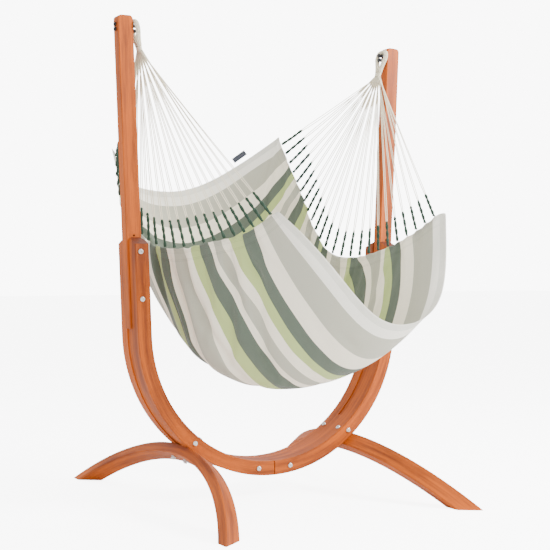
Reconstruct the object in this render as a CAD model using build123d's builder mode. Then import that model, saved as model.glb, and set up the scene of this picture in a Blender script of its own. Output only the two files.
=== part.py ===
"""Hammock chair hung in a laminated wooden stand. Millimetres, +Z up, origin on the floor under the middle."""

from build123d import *
from math import acos, atan2, cos, degrees, pi, radians, sin, sqrt, tan
import os

# ---------------------------------------------------------------- driving dimensions
STAND_HEIGHT = 2000
LEAN = 2.55                 # degrees that each post leans outwards
POST_TOP_X = 670            # post centre at the stand's full height
POST_WIDTH = 66             # along X
POST_DEPTH = 50             # along Y
POST_LOWER_END = 735        # height of the post's lower end, between the cheeks
POST_CORNER = 16
EDGE_ROUND = 4              # long edges of the posts and the outer faces of the arms
SPARE_HOLE_HEIGHT = 1111
SPARE_HOLE_RADIUS = 4.5

ARC_CENTRE_Z = 729
ARC_RADIUS = 606.5          # middle of the arm's radial depth
ARM_DEPTH = 61              # radial
CHEEK_THICKNESS = 60        # along Y
CHEEK_TOP = 1104            # beside the post
CHEEK_TOP_DROP = 27         # bevel from the post to the outer face
CHEEK_CORNER = 18
MIDDLE_GAP = 2              # joint line between the two halves
SPLICE_HALF_LENGTH = 150
CORE_RECESS = 5
CORE_FLUSH_ANGLE = 44       # below this angle the core is flush with the arm's inner face

FOOT_ANGLE = 37             # where the foot crosses the arm, from straight down
FOOT_RADIUS = 1065
FOOT_THICKNESS = 46
FOOT_WIDTH = 73
FOOT_CHAMFER = 4
FOOT_SWEEP = 50             # half angle of the arch before it is cut at the floor
SEAT_CLEARANCE = 0.4
FOOT_SEAT_DEPTH = 5
FOOT_BOLT_Y = 58

JOINT_BOLT_HEIGHTS = (855, 1046)
CROSSING_BOLT_ANGLE = 39
CENTRE_BOLT_X = 78
BOLT_RADIUS = 5
HOLE_RADIUS = 5.2
HEAD_RADIUS = 11
HEAD_HEIGHT = 6
HEAD_RIM = 1.5              # straight part of a domed head
SOCKET_RADIUS = 3.4
SOCKET_DEPTH = 3.5
HEAD_STANDOFF = 0.2
WASHER_RADIUS = 12
WASHER_THICKNESS = 2
NUT_HEIGHT = 9
NUT_RADIUS = 9.2            # to the corners
THREAD_END = 2              # bolt past its nut
FOOT_NUT_SLACK = 1.2
DRILL_OVERRUN = 20

HANGER_HEIGHT = 1962        # the upper hanger bolt, about which the hammock swings
HANGER_SPACING = 20
HANGER_HEAD_INNER_X = 600
HANGER_HEAD_RADIUS = 9.5
HANGER_HEAD_THICKNESS = 7
HANGER_HEAD_ROUND = 2.5
HANGER_THREAD = 9           # bolt past the post's outer face
HANGER_NUT_RADIUS = 8.6     # to the corners
HANGER_NUT_HEIGHT = 7
HANGER_NUT_GAP = 0.5
SLEEVE_END_GAP = 1
SLEEVE_RADIUS = 7.5
LOOP_X = 621.5
LOOP_TILT = 14              # the loop leans towards the seat
LOOP_ROPE_RADIUS = 9
LOOP_BEND_RADIUS = 32
LOOP_CLEARANCE = 0.3
NECK_DROP = 78
NECK_HALF_GAP = 9.4
WRAP_HEIGHT = 20
WRAP_WIDTH = 40             # along Y
WRAP_DEPTH = 21
WRAP_GAP = 4.5              # between the ends of the loop's legs and the wrap

CORDS_PER_SIDE = 24
CORD_RADIUS = 1.4
CORD_LINES = 3              # rows of cord starts under a neck wrap
CORD_PITCH = 4.4
CORD_START_GAP = 1          # under the wrap
CORD_SOCKET = 1             # gap between a cord's end and its end loop
END_LOOP_LENGTH = 110
EDGE_GAP = 6                # between the cloth's edge and its cord loops
END_LOOP_RADIUS = 3.2
FABRIC_THICKNESS = 4
HEM_WIDTH = 26
HEM_STEPS = 8
HEM_GAP = 12                # between the cloth's solid and the hem's
HEM_END_SHARE = 0.03        # of the edge, left free at each corner
HEM_THICKNESS = 7
LABEL_SHARE = 0.79          # of the back hem, from the left
LABEL_LENGTH = 72
LABEL_HEIGHT = 25
LABEL_THICKNESS = 1.5
LABEL_REACH = 24            # from the cloth's edge out to the tag's middle
LABEL_STANDOFF = 9

# The hanging cloth, from its front hem to its back hem: five places across, left to right, on seven lines.
CLOTH_NET = [
    [(-235, -480, 1200), (-5, -540, 970), (235, -580, 755), (505, -560, 850), (550, -505, 1215)],
    [(-280, -335, 1125), (-155, -415, 800), (90, -485, 608), (405, -465, 725), (490, -370, 1120)],
    [(-335, -210, 1095), (-295, -260, 705), (15, -310, 528), (340, -290, 662), (425, -235, 1055)],
    [(-400, -80, 1070), (-400, -90, 702), (-60, -105, 510), (315, -95, 685), (375, -95, 1030)],
    [(-480, 105, 1080), (-470, 90, 822), (-110, 105, 610), (280, 100, 795), (330, 40, 1080)],
    [(-530, 330, 1250), (-525, 320, 1075), (-155, 300, 910), (230, 280, 1040), (300, 170, 1295)],
    [(-500, 475, 1500), (-460, 545, 1385), (-170, 510, 1350), (110, 460, 1470), (255, 310, 1580)],
]

os.makedirs("parts", exist_ok=True)

HALF_DEPTH = ARM_DEPTH / 2
ARM_INNER = ARC_RADIUS - HALF_DEPTH
ARM_OUTER = ARC_RADIUS + HALF_DEPTH
ARM_HALF_Y = POST_DEPTH / 2 + CHEEK_THICKNESS
CHEEK_FACES_Y = POST_DEPTH / 2
SIDES = {"left": -1, "right": 1}


def post_x(height):
    """Post centre at a height, on the right-hand side."""
    return POST_TOP_X - (STAND_HEIGHT - height) * tan(radians(LEAN))


def arm_point(radius, angle):
    """Point (x, z) on the arm, at an angle measured from straight down, on the right-hand side."""
    turn = radians(angle)
    return (radius * sin(turn), ARC_CENTRE_Z - radius * cos(turn))


def arm_outline(inner, outer, first_angle, top):
    """Closed outline in X and Z: an arc that runs up into a straight leaning end cut level at a height."""
    last_angle = 90 - LEAN
    middle_angle = (first_angle + last_angle) / 2
    lean = tan(radians(LEAN))
    inner_end = arm_point(inner, last_angle)
    outer_end = arm_point(outer, last_angle)
    inner_top = (inner_end[0] + (top - inner_end[1]) * lean, top)
    outer_top = (outer_end[0] + (top - outer_end[1]) * lean, top)
    ThreePointArc(arm_point(inner, first_angle), arm_point(inner, middle_angle), inner_end)
    Polyline(inner_end, inner_top, outer_top, outer_end)
    ThreePointArc(outer_end, arm_point(outer, middle_angle), arm_point(outer, first_angle))
    Line(arm_point(outer, first_angle), arm_point(inner, first_angle))


def y_plane(y):
    """Plane square to Y, with X to the right and Z up, so its sketches read as the front view."""
    return Plane(origin=(0, y, 0), x_dir=(1, 0, 0), z_dir=(0, -1, 0))


def across(x, z, side=1):
    """Plane on the front face of the arms, looking back along +Y, at the place of a through bolt."""
    return Plane(origin=(side * x, -ARM_HALF_Y, z), x_dir=(1, 0, 0), z_dir=(0, 1, 0))


def foot_frame(side, drop, y):
    """Plane on the crossing line of a foot: its Z runs outwards along the arm's radius."""
    turn = radians(FOOT_ANGLE)
    reach = ARM_INNER + drop
    origin = (side * reach * sin(turn), y, ARC_CENTRE_Z - reach * cos(turn))
    return Plane(origin=origin, x_dir=(0, 1, 0), z_dir=(side * sin(turn), 0, -cos(turn)))


def through_bolt_places(side):
    """Planes of the bolts that go through one arm from front to back."""
    joint = [across(post_x(height), height, side) for height in JOINT_BOLT_HEIGHTS]
    crossing = [across(*arm_point(ARC_RADIUS, CROSSING_BOLT_ANGLE), side)]
    centre_angle = degrees(atan2(CENTRE_BOLT_X, sqrt(ARC_RADIUS**2 - CENTRE_BOLT_X**2)))
    centre = [across(*arm_point(ARC_RADIUS, centre_angle), side)]
    return joint, crossing, centre


def all_through_bolts():
    """Every through-bolt plane on both arms."""
    return [place for side in SIDES.values() for group in through_bolt_places(side) for place in group]


def foot_bolts(side):
    """Planes under the heads of the two radial bolts of one foot, a hair inside the arm's hollow face."""
    return [foot_frame(side, -HEAD_STANDOFF, y) for y in (-FOOT_BOLT_Y, FOOT_BOLT_Y)]


def drill(places, depth, radius=HOLE_RADIUS):
    """Cut a round hole along each plane's Z, a little longer than its depth at both ends."""
    with Locations(*places):
        Cylinder(radius, depth + DRILL_OVERRUN, align=(Align.CENTER, Align.CENTER, Align.CENTER), mode=Mode.SUBTRACT)


def middle_of(place, depth):
    """The same plane moved half a depth along its Z."""
    return place.offset(depth / 2)


def save(builder, name):
    """Label a finished piece and write its STEP file."""
    builder.part.label = name
    export_step(builder.part, f"parts/{name}.step")


# ---------------------------------------------------------------- posts
def make_post(name, side):
    """Straight leaning post with rounded top corners, drilled for the joint, the spare hole and the hanger."""
    lean = side * radians(LEAN)
    foot = (side * post_x(POST_LOWER_END), 0, POST_LOWER_END)
    length = (STAND_HEIGHT - POST_LOWER_END) / cos(lean) - POST_WIDTH / 2 * tan(abs(lean))
    upright = Plane(origin=foot, x_dir=(cos(lean), 0, -sin(lean)), z_dir=(sin(lean), 0, cos(lean)))
    with BuildPart() as post:
        with BuildSketch(upright):
            Rectangle(POST_WIDTH, POST_DEPTH)
        extrude(amount=length)
        top = post.faces().sort_by(Axis.Z)[-1]
        fillet(top.edges().sort_by(Axis.X)[0], POST_CORNER)
        top = post.faces().filter_by(GeomType.PLANE).sort_by(Axis.Z)[-1]
        fillet(top.edges().sort_by(Axis.X)[-1], POST_CORNER)
        long_edges = post.edges().filter_by(lambda edge: edge.length > length / 2)
        fillet(long_edges, EDGE_ROUND)
        joint = [middle_of(place, 2 * ARM_HALF_Y) for place in through_bolt_places(side)[0]]
        drill(joint, 2 * ARM_HALF_Y)
        spare = Plane(origin=(side * post_x(SPARE_HOLE_HEIGHT), 0, SPARE_HOLE_HEIGHT), z_dir=(0, 1, 0))
        drill([spare], POST_DEPTH, SPARE_HOLE_RADIUS)
        for height in (HANGER_HEIGHT, HANGER_HEIGHT - HANGER_SPACING):
            hanger = Plane(origin=(side * post_x(height), 0, height), z_dir=(1, 0, 0))
            drill([hanger], POST_WIDTH)
    save(post, name)


for side_name, side in SIDES.items():
    make_post(f"{side_name}_post", side)


# ---------------------------------------------------------------- arms: cheeks, cores and the centre splice
def make_cheek(name, side, face):
    """One curved outer layer of an arm, with a bevelled rounded top. face is -1 in front and 1 behind."""
    bottom_angle = degrees(atan2(MIDDLE_GAP / 2, ARC_RADIUS))
    inner_y = face * CHEEK_FACES_Y
    with BuildPart() as cheek:
        with BuildSketch(y_plane(inner_y)):
            with BuildLine():
                arm_outline(ARM_INNER, ARM_OUTER, bottom_angle, CHEEK_TOP)
            make_face()
        extrude(amount=-face * CHEEK_THICKNESS)
        top = cheek.faces().sort_by(Axis.Z)[-1]
        fillet(top.edges().filter_by(Axis.Y), CHEEK_CORNER)
        outer_face = cheek.faces().sort_by(Axis.Y)[0 if face < 0 else -1]
        fillet(outer_face.edges(), EDGE_ROUND)
        slope = atan2(CHEEK_TOP_DROP, CHEEK_THICKNESS)
        bevel = Plane(origin=(0, inner_y, CHEEK_TOP), x_dir=(1, 0, 0), z_dir=(0, face * sin(slope), cos(slope)))
        split(bisect_by=bevel, keep=Keep.BOTTOM)
        if side < 0:
            mirror(about=Plane.YZ, mode=Mode.REPLACE)
        drill([middle_of(place, 2 * ARM_HALF_Y) for place in all_through_bolts()], 2 * ARM_HALF_Y)
        drill([middle_of(place, ARM_DEPTH) for place in foot_bolts(side)], ARM_DEPTH)
    save(cheek, name)


def make_core(name, side):
    """Middle layer of an arm, from the splice to the post's lower end, recessed behind the outer faces."""
    start = degrees(atan2(SPLICE_HALF_LENGTH, ARC_RADIUS))
    with BuildPart() as core:
        with BuildSketch(y_plane(-CHEEK_FACES_Y)):
            with BuildLine():
                arm_outline(ARM_INNER + CORE_RECESS, ARM_OUTER - CORE_RECESS, start, POST_LOWER_END)
            make_face()
            with BuildLine():
                flush_middle = (start + CORE_FLUSH_ANGLE) / 2
                Polyline(
                    arm_point(ARM_INNER, CORE_FLUSH_ANGLE),
                    arm_point(ARC_RADIUS, CORE_FLUSH_ANGLE),
                    arm_point(ARC_RADIUS, start),
                    arm_point(ARM_INNER, start),
                )
                ThreePointArc(
                    arm_point(ARM_INNER, start),
                    arm_point(ARM_INNER, flush_middle),
                    arm_point(ARM_INNER, CORE_FLUSH_ANGLE),
                )
            make_face()
        extrude(amount=-POST_DEPTH)
        lean = radians(LEAN)
        post_end = Plane(origin=(post_x(POST_LOWER_END), 0, POST_LOWER_END), z_dir=(sin(lean), 0, cos(lean)))
        split(bisect_by=post_end, keep=Keep.BOTTOM)
        if side < 0:
            mirror(about=Plane.YZ, mode=Mode.REPLACE)
        drill([middle_of(place, 2 * ARM_HALF_Y) for place in all_through_bolts()], 2 * ARM_HALF_Y)
    save(core, name)


for side_name, side in SIDES.items():
    make_cheek(f"{side_name}_front_cheek", side, -1)
    make_cheek(f"{side_name}_back_cheek", side, 1)
    make_core(f"{side_name}_core", side)

with BuildPart() as centre_splice:
    splice_angle = degrees(atan2(SPLICE_HALF_LENGTH, ARC_RADIUS))
    splice_outer = ARM_OUTER - CORE_RECESS
    with BuildSketch(y_plane(-CHEEK_FACES_Y)):
        with BuildLine():
            ThreePointArc(
                arm_point(ARM_INNER, -splice_angle), arm_point(ARM_INNER, 0), arm_point(ARM_INNER, splice_angle)
            )
            Line(arm_point(ARM_INNER, splice_angle), arm_point(splice_outer, splice_angle))
            ThreePointArc(
                arm_point(splice_outer, splice_angle), arm_point(splice_outer, 0), arm_point(splice_outer, -splice_angle)
            )
            Line(arm_point(splice_outer, -splice_angle), arm_point(ARM_INNER, -splice_angle))
        make_face()
    extrude(amount=-POST_DEPTH)
    drill([middle_of(place, 2 * ARM_HALF_Y) for place in all_through_bolts()], 2 * ARM_HALF_Y)
save(centre_splice, "centre_splice")


# ---------------------------------------------------------------- feet
def make_foot(name, side):
    """Arched foot in the plane of the arm's radius, seated on the arm and cut level at the floor."""
    turn = radians(FOOT_ANGLE)
    crown_reach = ARM_OUTER - FOOT_SEAT_DEPTH
    crown = (side * crown_reach * sin(turn), 0, ARC_CENTRE_Z - crown_reach * cos(turn))
    arch = Plane(origin=crown, x_dir=(0, 1, 0), z_dir=(cos(turn), 0, side * sin(turn)))
    inner_radius = FOOT_RADIUS - FOOT_THICKNESS
    with BuildPart() as foot:
        with BuildSketch(arch):
            with BuildLine():
                upper = CenterArc((0, -FOOT_RADIUS), FOOT_RADIUS, 90 - FOOT_SWEEP, 2 * FOOT_SWEEP)
                under = CenterArc((0, -FOOT_RADIUS), inner_radius, 90 - FOOT_SWEEP, 2 * FOOT_SWEEP)
                Line(upper @ 0, under @ 0)
                Line(upper @ 1, under @ 1)
            make_face()
        extrude(amount=FOOT_WIDTH / 2, both=True)
        chamfer(foot.edges().filter_by(GeomType.CIRCLE), FOOT_CHAMFER)
        split(bisect_by=Plane.XY, keep=Keep.TOP)
        seat = Plane(origin=(0, 0, ARC_CENTRE_Z), z_dir=(0, 1, 0))
        with Locations(seat):
            Cylinder(ARM_OUTER, 2 * ARM_HALF_Y + SEAT_CLEARANCE, mode=Mode.SUBTRACT)
        drill([middle_of(place, 2 * ARM_DEPTH) for place in foot_bolts(side)], 2 * ARM_DEPTH)
    save(foot, name)


for side_name, side in SIDES.items():
    make_foot(f"{side_name}_foot", side)


# ---------------------------------------------------------------- bolts, washers and nuts of the stand
def domed_bolt(grip):
    """Bolt along +Z whose domed head lies below the plane and whose grip starts at it."""
    with BuildPart() as bolt:
        Cylinder(HEAD_RADIUS, HEAD_HEIGHT, align=(Align.CENTER, Align.CENTER, Align.MAX))
        fillet(bolt.edges().sort_by(Axis.Z)[0], HEAD_HEIGHT - HEAD_RIM)
        with BuildSketch(Plane.XY.offset(-HEAD_HEIGHT)):
            RegularPolygon(SOCKET_RADIUS, 6)
        extrude(amount=SOCKET_DEPTH, mode=Mode.SUBTRACT)
        length = grip + WASHER_THICKNESS + NUT_HEIGHT + THREAD_END
        Cylinder(BOLT_RADIUS, length, align=(Align.CENTER, Align.CENTER, Align.MIN))
    return bolt.part


def washer(radius=WASHER_RADIUS):
    """Flat washer on the plane, with its thickness along +Z."""
    with BuildPart() as ring:
        Cylinder(radius, WASHER_THICKNESS, align=(Align.CENTER, Align.CENTER, Align.MIN))
        Cylinder(HOLE_RADIUS, WASHER_THICKNESS, align=(Align.CENTER, Align.CENTER, Align.MIN), mode=Mode.SUBTRACT)
    return ring.part


def nut():
    """Hexagon nut on the plane, with a bore that the bolt fills."""
    with BuildPart() as hexagon:
        with BuildSketch():
            RegularPolygon(NUT_RADIUS, 6)
            Circle(BOLT_RADIUS, mode=Mode.SUBTRACT)
        extrude(amount=NUT_HEIGHT)
    return hexagon.part


def make_fasteners(name, shape, places):
    """One node of equal fasteners, a separate solid at each plane."""
    with BuildPart() as group:
        with Locations(*places):
            add(shape)
    save(group, name)


ARM_THICKNESS = 2 * ARM_HALF_Y
BOLT_GROUPS = ("joint", "crossing", "centre")
for index, group_name in enumerate(BOLT_GROUPS):
    fronts = [place for side in SIDES.values() for place in through_bolt_places(side)[index]]
    backs = [place.offset(ARM_THICKNESS) for place in fronts]
    make_fasteners(f"{group_name}_bolts", domed_bolt(ARM_THICKNESS), fronts)
    make_fasteners(f"{group_name}_washers", washer(), backs)
    make_fasteners(f"{group_name}_nuts", nut(), [place.offset(WASHER_THICKNESS) for place in backs])

seat_sagitta = FOOT_RADIUS - sqrt(FOOT_RADIUS**2 - FOOT_BOLT_Y**2)
foot_grip = ARM_DEPTH - FOOT_SEAT_DEPTH + FOOT_THICKNESS + seat_sagitta + FOOT_NUT_SLACK
foot_heads = [place for side in SIDES.values() for place in foot_bolts(side)]
make_fasteners("foot_bolts", domed_bolt(foot_grip), foot_heads)
make_fasteners("foot_washers", washer(), [place.offset(foot_grip) for place in foot_heads])
make_fasteners("foot_nuts", nut(), [place.offset(foot_grip + WASHER_THICKNESS) for place in foot_heads])


# ---------------------------------------------------------------- hangers
def hanger_plane(side, x, height):
    """Plane at a hanger bolt whose Z points outwards, away from the seat."""
    return Plane(origin=(side * x, 0, height), z_dir=(side, 0, 0))


def make_hanger(side_name, side):
    """Two stacked black bolts through the post, each with a sleeve that the loop lies on, and a nut."""
    heights = (HANGER_HEIGHT, HANGER_HEIGHT - HANGER_SPACING)
    head_end = HANGER_HEAD_INNER_X + HANGER_HEAD_THICKNESS
    outer_faces = [post_x(height) + POST_WIDTH / 2 / cos(radians(LEAN)) for height in heights]
    inner_faces = [post_x(height) - POST_WIDTH / 2 / cos(radians(LEAN)) for height in heights]
    with BuildPart() as bolts:
        for height, face in zip(heights, outer_faces):
            with Locations(hanger_plane(side, HANGER_HEAD_INNER_X, height)):
                Cylinder(HANGER_HEAD_RADIUS, HANGER_HEAD_THICKNESS, align=(Align.CENTER, Align.CENTER, Align.MIN))
            with Locations(hanger_plane(side, head_end, height)):
                Cylinder(BOLT_RADIUS, face + HANGER_THREAD - head_end, align=(Align.CENTER, Align.CENTER, Align.MIN))
        heads = bolts.faces().filter_by(Axis.X).sort_by(Axis.X)
        seat_side = heads[:2] if side > 0 else heads[-2:]
        fillet(seat_side.edges(), HANGER_HEAD_ROUND)
    save(bolts, f"{side_name}_hanger_bolts")
    with BuildPart() as sleeves:
        for height, face in zip(heights, inner_faces):
            with Locations(hanger_plane(side, head_end, height)):
                length = face - SLEEVE_END_GAP - head_end
                Cylinder(SLEEVE_RADIUS, length, align=(Align.CENTER, Align.CENTER, Align.MIN))
                Cylinder(HOLE_RADIUS, 2 * length + DRILL_OVERRUN, mode=Mode.SUBTRACT)
    save(sleeves, f"{side_name}_hanger_sleeves")
    with BuildPart() as nuts:
        for height, face in zip(heights, outer_faces):
            with BuildSketch(hanger_plane(side, face + HANGER_NUT_GAP, height)):
                RegularPolygon(HANGER_NUT_RADIUS, 6)
                Circle(BOLT_RADIUS, mode=Mode.SUBTRACT)
            extrude(amount=HANGER_NUT_HEIGHT)
    save(nuts, f"{side_name}_hanger_nuts")


for side_name, side in SIDES.items():
    make_hanger(side_name, side)


# ---------------------------------------------------------------- hanging loops and neck wraps
def loop_plane(side):
    """Plane of a hanging loop: its X is the row's +Y and its Y runs up the tilted loop."""
    tilt = radians(LOOP_TILT)
    origin = (side * LOOP_X, 0, HANGER_HEIGHT)
    return Plane(origin=origin, x_dir=(0, 1, 0), z_dir=(cos(tilt), 0, -side * sin(tilt)))


def make_loop(name, side):
    """Rope ring over the upper sleeve: a round bend and two straight legs down to the neck."""
    top = (SLEEVE_RADIUS + LOOP_CLEARANCE + LOOP_ROPE_RADIUS) / cos(radians(LOOP_TILT))
    centre_y = top - LOOP_BEND_RADIUS
    distance = sqrt(NECK_HALF_GAP**2 + (NECK_DROP + centre_y) ** 2)
    to_neck = atan2(-NECK_DROP - centre_y, NECK_HALF_GAP)
    tangent = to_neck + acos(LOOP_BEND_RADIUS / distance)
    touch = (LOOP_BEND_RADIUS * cos(tangent), centre_y + LOOP_BEND_RADIUS * sin(tangent))
    plane = loop_plane(side)
    with BuildPart() as ring:
        with BuildLine(plane) as route:
            leg = Line((NECK_HALF_GAP, -NECK_DROP), touch)
            ThreePointArc(touch, (0, top), (-touch[0], touch[1]))
            Line((-touch[0], touch[1]), (-NECK_HALF_GAP, -NECK_DROP))
        with BuildSketch(Plane(origin=leg @ 0, z_dir=leg % 0)):
            Circle(LOOP_ROPE_RADIUS)
        sweep(path=route.line)
    save(ring, name)


def neck_bottom(side):
    """Plane on the lower face of the neck wrap, looking down along the loop."""
    plane = loop_plane(side)
    origin = plane.from_local_coords((0, -NECK_DROP - WRAP_HEIGHT - WRAP_GAP, 0))
    return Plane(origin=origin, x_dir=plane.x_dir, z_dir=-plane.y_dir)


def make_neck_wrap(name, side):
    """Whipping that binds the loop's two legs above the fan of cords."""
    with BuildPart() as wrap:
        with BuildSketch(neck_bottom(side)):
            SlotOverall(WRAP_WIDTH, WRAP_DEPTH)
        extrude(amount=-WRAP_HEIGHT)
    save(wrap, name)


for side_name, side in SIDES.items():
    make_loop(f"{side_name}_hanging_loop", side)
    make_neck_wrap(f"{side_name}_neck_wrap", side)


# ---------------------------------------------------------------- cloth, hems, cords and label
def surface_through(points):
    """Smooth surface through a net of points."""
    return Face.make_surface_from_array_of_points(points, tol=0.5, min_deg=3, max_deg=5)


CLOTH_SURFACE = surface_through([[Vector(*point) for point in row] for row in CLOTH_NET])
CLOTH_CENTRE = CLOTH_SURFACE.center()


def cloth_side(axis, last):
    """Outer edge of the cloth at the low or high end of an axis."""
    return CLOTH_SURFACE.edges().sort_by(axis)[-1 if last else 0]


def edge_frame(edge, share):
    """Place on an edge of the cloth, and the direction in the cloth that leads out over the edge."""
    place = edge @ share
    outwards = (edge % share).cross(CLOTH_SURFACE.normal_at(place)).normalized()
    return place, outwards if outwards.dot(place - CLOTH_CENTRE) > 0 else -outwards


def hem_strip(edge):
    """Net of a narrow strip that continues the cloth past one edge."""
    strip = []
    for step in range(HEM_STEPS + 1):
        share = HEM_END_SHARE + (1 - 2 * HEM_END_SHARE) * step / HEM_STEPS
        place, outwards = edge_frame(edge, share)
        strip.append([place + outwards * reach for reach in (HEM_GAP, (HEM_GAP + HEM_WIDTH) / 2, HEM_WIDTH)])
    return strip


def make_sheet(name, surface, thickness):
    """Closed solid of even thickness about a surface."""
    with BuildPart() as sheet:
        thicken(surface, amount=thickness / 2, both=True)
    save(sheet, name)


make_sheet("hammock_fabric", CLOTH_SURFACE, FABRIC_THICKNESS)
make_sheet("front_hem", surface_through(hem_strip(cloth_side(Axis.Y, last=False))), HEM_THICKNESS)
make_sheet("back_hem", surface_through(hem_strip(cloth_side(Axis.Y, last=True))), HEM_THICKNESS)


def cord_ends(side):
    """For each cord of a side: its start under the neck wrap, the knot, and its place off the cloth's edge."""
    edge = cloth_side(Axis.X, last=side > 0)
    front_first = (edge @ 0).Y < (edge @ 1).Y
    neck = neck_bottom(side)
    middle_column = (CORDS_PER_SIDE / CORD_LINES - 1) / 2
    middle_line = (CORD_LINES - 1) / 2
    ends = []
    for index in range(CORDS_PER_SIDE):
        share = (index + 0.5) / CORDS_PER_SIDE
        place = edge @ (share if front_first else 1 - share)
        column, line = divmod(index, CORD_LINES)
        across_neck = ((column - middle_column) * CORD_PITCH, (line - middle_line) * CORD_PITCH)
        start = neck.from_local_coords((*across_neck, CORD_START_GAP))
        along = (start - place).normalized()
        ends.append((start, place + along * (END_LOOP_LENGTH + EDGE_GAP), place + along * EDGE_GAP))
    return ends


def add_rod(start, end, radius):
    """Straight round cord between two points, added to the part being built."""
    with Locations(Plane(origin=start, z_dir=end - start)):
        Cylinder(radius, (end - start).length, align=(Align.CENTER, Align.CENTER, Align.MIN))


for side_name, side in SIDES.items():
    ends = cord_ends(side)
    with BuildPart() as cords:
        for start, knot, edge_place in ends:
            add_rod(start, knot + (start - knot).normalized() * CORD_SOCKET, CORD_RADIUS)
    save(cords, f"{side_name}_suspension_cords")
    with BuildPart() as end_loops:
        for start, knot, edge_place in ends:
            add_rod(knot, edge_place, END_LOOP_RADIUS)
    save(end_loops, f"{side_name}_end_loops")

back_edge = cloth_side(Axis.Y, last=True)
label_share = LABEL_SHARE if (back_edge @ 0).X < (back_edge @ 1).X else 1 - LABEL_SHARE
label_place, label_outwards = edge_frame(back_edge, label_share)
label_along = back_edge % label_share
label_facing = label_along.cross(label_outwards)
if label_facing.Y > 0:
    label_facing = -label_facing
label_centre = label_place + label_outwards * LABEL_REACH + label_facing * LABEL_STANDOFF
with BuildPart() as label_tag:
    with Locations(Plane(origin=label_centre, x_dir=label_along, z_dir=label_facing)):
        Box(LABEL_LENGTH, LABEL_HEIGHT, LABEL_THICKNESS)
save(label_tag, "label_tag")
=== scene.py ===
"""Hammock chair in its laminated wooden stand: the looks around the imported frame. Metres, +Z up."""
import random
from math import cos, exp, pi, radians, sin, tan

import bmesh
import bpy
import numpy as np
from mathutils import Matrix, Vector


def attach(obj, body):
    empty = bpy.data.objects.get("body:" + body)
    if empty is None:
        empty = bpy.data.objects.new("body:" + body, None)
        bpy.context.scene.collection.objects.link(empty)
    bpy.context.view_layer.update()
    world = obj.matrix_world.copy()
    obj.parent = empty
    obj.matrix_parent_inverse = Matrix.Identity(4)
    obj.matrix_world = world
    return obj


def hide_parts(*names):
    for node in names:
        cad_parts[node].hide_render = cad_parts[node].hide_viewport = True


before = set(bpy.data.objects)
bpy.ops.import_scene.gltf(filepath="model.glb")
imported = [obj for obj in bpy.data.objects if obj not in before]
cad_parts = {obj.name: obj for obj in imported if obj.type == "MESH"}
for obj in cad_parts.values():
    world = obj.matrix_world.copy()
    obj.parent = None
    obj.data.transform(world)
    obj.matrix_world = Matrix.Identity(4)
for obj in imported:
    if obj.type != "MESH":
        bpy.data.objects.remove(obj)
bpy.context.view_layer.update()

bl_info = {
    "name": "Hammock chair on a wooden stand",
    "version": (1, 0, 0),
    "blender": (4, 5, 0),
    "location": "3D View > Sidebar > Hammock",
    "description": "Builds the cloth, cords and finishes of a hammock chair around its packed frame",
    "category": "Object",
}

# -------------------- the stand's own sizes
LEAN = radians(2.55)
ARC_CENTRE_Z = 0.729
ARC_RADIUS = 0.6065
ARM_OUTER = 0.637
STAND_HEIGHT = 2.0
FOOT_ANGLE = radians(37)
FOOT_RADIUS = 1.065
FOOT_SEAT_DEPTH = 0.005
CHEEK_TOP = 1.07            # just below the sawn tops of the cheeks
SIDES = {"left": -1, "right": 1}
NO_END = STAND_HEIGHT + 1       # a height that no wood reaches, for pieces with no sawn top
# Layers of an arm: name, shift that gives each its own grain, and a height just below its sawn top.
ARM_LAYERS = (("front_cheek", 1.9, CHEEK_TOP), ("back_cheek", 2.6, CHEEK_TOP), ("core", 3.1, NO_END))

# -------------------- the hangers, the tag and the ties
HANGER_HEIGHT = 1.962
LOOP_X = 0.6215
LOOP_TILT = radians(14)
LOOP_REACH = 0.0168
NECK_DROP = 0.078
NECK_HALF_GAP = 0.0094
WRAP_HEIGHT = 0.020
WRAP_GAP = 0.0045
TAG_DARK = (0.030, 0.036, 0.050, 1)
TAG_LIGHT = (0.055, 0.062, 0.080, 1)
ROPE_LAYERS = ((1, 0.0, 0), (6, 0.0052, 1.0), (9, 0.0078, -0.7))    # strands, offset and turns of each layer
ROPE_STRAND_RADIUS = 0.0023
WHIP_TURNS = 8
WHIP_STEPS = 26
WHIP_RADIUS = 0.0013
WHIP_HALF_WIDTH = 0.0186
WHIP_HALF_DEPTH = 0.0094
TIES = 24
TIE_LENGTH = 0.110
TIE_GAP = 0.004
TIE_STEPS = 39
TIE_BOW = 0.004             # most that a tie bends sideways
TIE_CROWN = 0.004           # height of the turn at a tie's top
TIE_STRAND_SHARE = 0.55     # of a strand's radius, between the strand and the tie's middle
CORD_STEPS = 12
CORD_GAP = 0.0028           # half the usual gap between the two cords of a pair
CORD_SAG = (0.002, 0.007)
CORD_HOOK = 0.006           # reach of a pair past the top of its tie
CORD_LINES = 3
CORD_PITCH = 0.0044

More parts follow.
